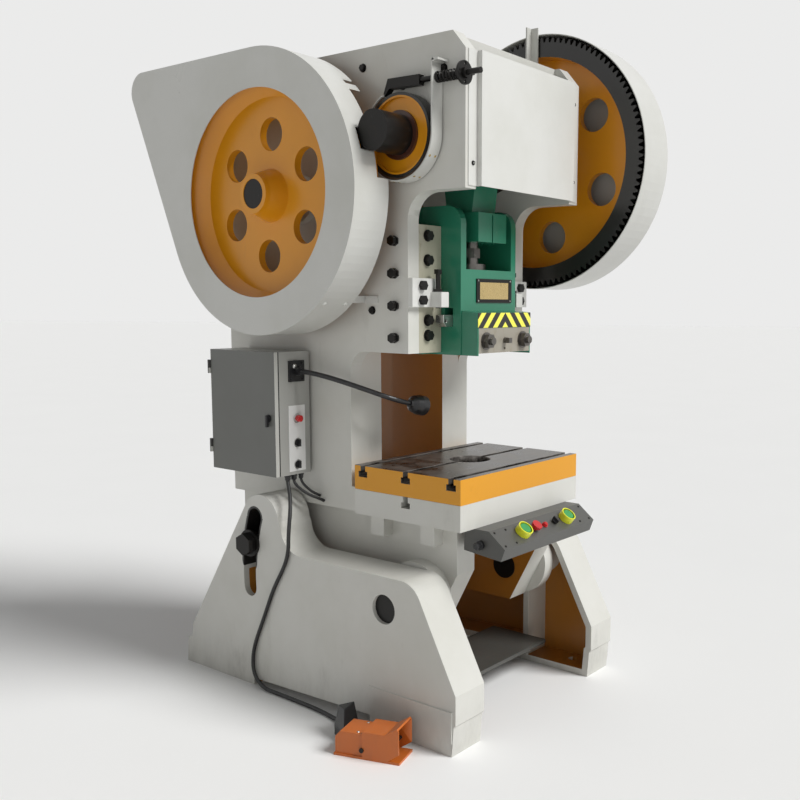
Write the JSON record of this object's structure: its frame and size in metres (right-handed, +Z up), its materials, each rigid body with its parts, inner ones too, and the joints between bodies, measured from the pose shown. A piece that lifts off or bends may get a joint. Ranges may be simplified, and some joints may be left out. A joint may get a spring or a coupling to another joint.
{
  "type": "mechanical stamping press",
  "caption": "Open-back inclinable crank press: a tilting C-frame on two legs with flywheel, gear, band brake, guided ram, bolster and two-hand controls.",
  "frame": {"origin": "on the floor at the centre of the four anchor holes in the legs' feet", "axes": "+Z up, +Y from the operator's side towards the back, +X towards the operator's right"},
  "size_m": [1.277, 1.766, 2.481],
  "materials": {
    "press_paint": "satin",
    "wheel_paint": "satin",
    "bolster_paint": "satin",
    "ram_paint": "satin",
    "cabinet_paint": "satin",
    "cabinet_front": "satin",
    "control_paint": "satin",
    "black_steel": "oiled",
    "bright_steel": "ground",
    "cast_gib": "scraped",
    "bronze": "turned",
    "brass_sheet": "brushed",
    "friction_lining": "woven",
    "motor_paint": "satin",
    "belt_rubber": "matt",
    "black_plastic": "fine grain",
    "yellow_plastic": "gloss",
    "green_plastic": "gloss",
    "red_plastic": "gloss",
    "foot_paint": "satin",
    "cable_sheath": "matt"
  },
  "bodies": {
    "base": {"leg_left": "press_paint", "leg_right": "press_paint", "tie_plates": "control_paint", "pivot_pins": "black_steel", "foot_base": "foot_paint", "foot_cable_box": "black_plastic", "foot_cable": "cable_sheath"},
    "frame": {"frame_casting": "press_paint", "incline_bolts": "black_steel", "bolster": "bolster_paint", "bushes": "bronze", "gib_left": "cast_gib", "gib_right": "cast_gib", "guide_side_bolts": "black_steel", "hex_bolts": "black_steel", "stop_blocks": "press_paint", "stop_screws": "black_steel", "front_cover": "press_paint", "brake_lining": "friction_lining", "brake_band": "bright_steel", "brake_lug": "black_steel", "flywheel_guard": "press_paint", "gear_guard": "press_paint", "motor": "motor_paint", "drive_belts": "belt_rubber", "motor_bracket": "press_paint", "cabinet_box": "cabinet_front", "switch_strip": "cabinet_front", "lamp_arm": "black_steel", "lamp_head": "black_steel", "control_box": "control_paint", "palm_collars": "yellow_plastic", "trip_box": "press_paint"},
    "drive": {"drive_shaft": "black_steel", "flywheel": "wheel_paint"},
    "gear": {"main_gear": "wheel_paint"},
    "crank": {"crankshaft": "black_steel", "brake_drum": "wheel_paint"},
    "ram_slide": {"ram": "ram_paint", "die_clamp": "press_paint", "clamp_nuts": "black_steel", "connecting_rod": "ram_paint", "ball_screw": "bright_steel", "plate_frame": "black_steel", "brass_plate": "brass_sheet"},
    "knockout": {"knockout_bar": "bright_steel"},
    "motor_rotor": {"motor_pulley": "black_steel"},
    "brake_screw": {"brake_wheel": "black_steel"},
    "door": {"cabinet_door": "cabinet_paint"},
    "latch": {"door_latch": "black_plastic"},
    "stop": {"stop_button": "red_plastic"},
    "switch_upper": {"selector_upper": "black_plastic"},
    "switch_lower": {"selector_lower": "black_plastic"},
    "palm_left": {"palm_button_left": "green_plastic"},
    "palm_right": {"palm_button_right": "green_plastic"},
    "mushroom": {"mushroom_button": "red_plastic"},
    "mode": {"mode_selector": "black_plastic"},
    "trip": {"trip_rod": "bright_steel"},
    "treadle": {"foot_treadle": "black_steel"}
  },
  "joints": [
    {"name": "incline", "type": "hinge", "parent": "base", "child": "frame", "pos_m": [0, -0.387, 0.43], "axis": [-1, 0, 0], "range_deg": [0, 6], "deforming": ["foot_cable"]},
    {"name": "drive_spin", "type": "hinge", "parent": "frame", "child": "drive", "pos_m": [0, 0.14721, 1.806], "axis": [1, 0, 0], "continuous": true},
    {"name": "gear_spin", "type": "hinge", "parent": "frame", "child": "gear", "pos_m": [0.45, -0.365, 1.977], "axis": [1, 0, 0], "continuous": true},
    {"name": "motor_spin", "type": "hinge", "parent": "frame", "child": "motor_rotor", "pos_m": [-0.48, 0.771, 2.216], "axis": [1, 0, 0], "continuous": true},
    {"name": "crank_turn", "type": "hinge", "parent": "frame", "child": "crank", "pos_m": [0, -0.365, 1.977], "axis": [-1, 0, 0], "range_deg": [0, 180]},
    {"name": "ram_stroke", "type": "slide", "parent": "frame", "child": "ram_slide", "axis": [0, 0, -1], "range_m": [0, 0.12]},
    {"name": "knockout_lift", "type": "slide", "parent": "ram_slide", "child": "knockout", "axis": [0, 0, 1], "range_m": [0, 0.022]},
    {"name": "brake_adjust", "type": "hinge", "parent": "frame", "child": "brake_screw", "pos_m": [-0.36, -0.365, 2.142], "axis": [0, 1, 0], "range_deg": [-180, 180]},
    {"name": "door_swing", "type": "hinge", "parent": "frame", "child": "door", "pos_m": [-0.509, 0.4743, 1.04], "axis": [0, 0, -1], "range_deg": [0, 110]},
    {"name": "latch_turn", "type": "hinge", "parent": "door", "child": "latch", "pos_m": [-0.5, 0.147, 1.028], "axis": [-1, 0, 0], "range_deg": [0, 90]},
    {"name": "stop_press", "type": "slide", "parent": "frame", "child": "stop", "axis": [0, 1, 0], "range_m": [0, 0.005], "stiffness_N_per_m": 800, "springref_m": -0.004},
    {"name": "switch_upper_turn", "type": "hinge", "parent": "frame", "child": "switch_upper", "pos_m": [-0.408, 0, 0.934], "axis": [0, 1, 0], "range_deg": [0, 90]},
    {"name": "switch_lower_turn", "type": "hinge", "parent": "frame", "child": "switch_lower", "pos_m": [-0.408, 0, 0.855], "axis": [0, 1, 0], "range_deg": [0, 90]},
    {"name": "palm_left_press", "type": "slide", "parent": "frame", "child": "palm_left", "axis": [0, 0.6189, -0.7855], "range_m": [0, 0.005], "stiffness_N_per_m": 800, "springref_m": -0.006},
    {"name": "palm_right_press", "type": "slide", "parent": "frame", "child": "palm_right", "axis": [0, 0.6189, -0.7855], "range_m": [0, 0.005], "stiffness_N_per_m": 800, "springref_m": -0.006},
    {"name": "mushroom_press", "type": "slide", "parent": "frame", "child": "mushroom", "axis": [0, 0.6189, -0.7855], "range_m": [0, 0.005], "stiffness_N_per_m": 800, "springref_m": -0.006},
    {"name": "mode_turn", "type": "hinge", "parent": "frame", "child": "mode", "pos_m": [0.062, -0.698, 0.67], "axis": [0, -0.6189, 0.7855], "range_deg": [-45, 45]},
    {"name": "trip_pull", "type": "slide", "parent": "frame", "child": "trip", "axis": [0, 0, -1], "range_m": [0, 0.008], "stiffness_N_per_m": 1500, "springref_m": -0.008},
    {"name": "treadle_press", "type": "hinge", "parent": "base", "child": "treadle", "pos_m": [-0.62294, -0.44378, 0.03], "axis": [0.9511, 0.309, 0], "range_deg": [0, 10], "stiffness_Nm_per_rad": 30, "springref_deg": -11.46}
  ],
  "couplings": [
    {"joint": "gear_spin", "follows": "drive_spin", "ratio": -0.17391},
    {"joint": "motor_spin", "follows": "drive_spin", "ratio": 7.2903},
    {"joint": "ram_stroke", "follows": "crank_turn", "m_per_rad": 0.038197}
  ]
}
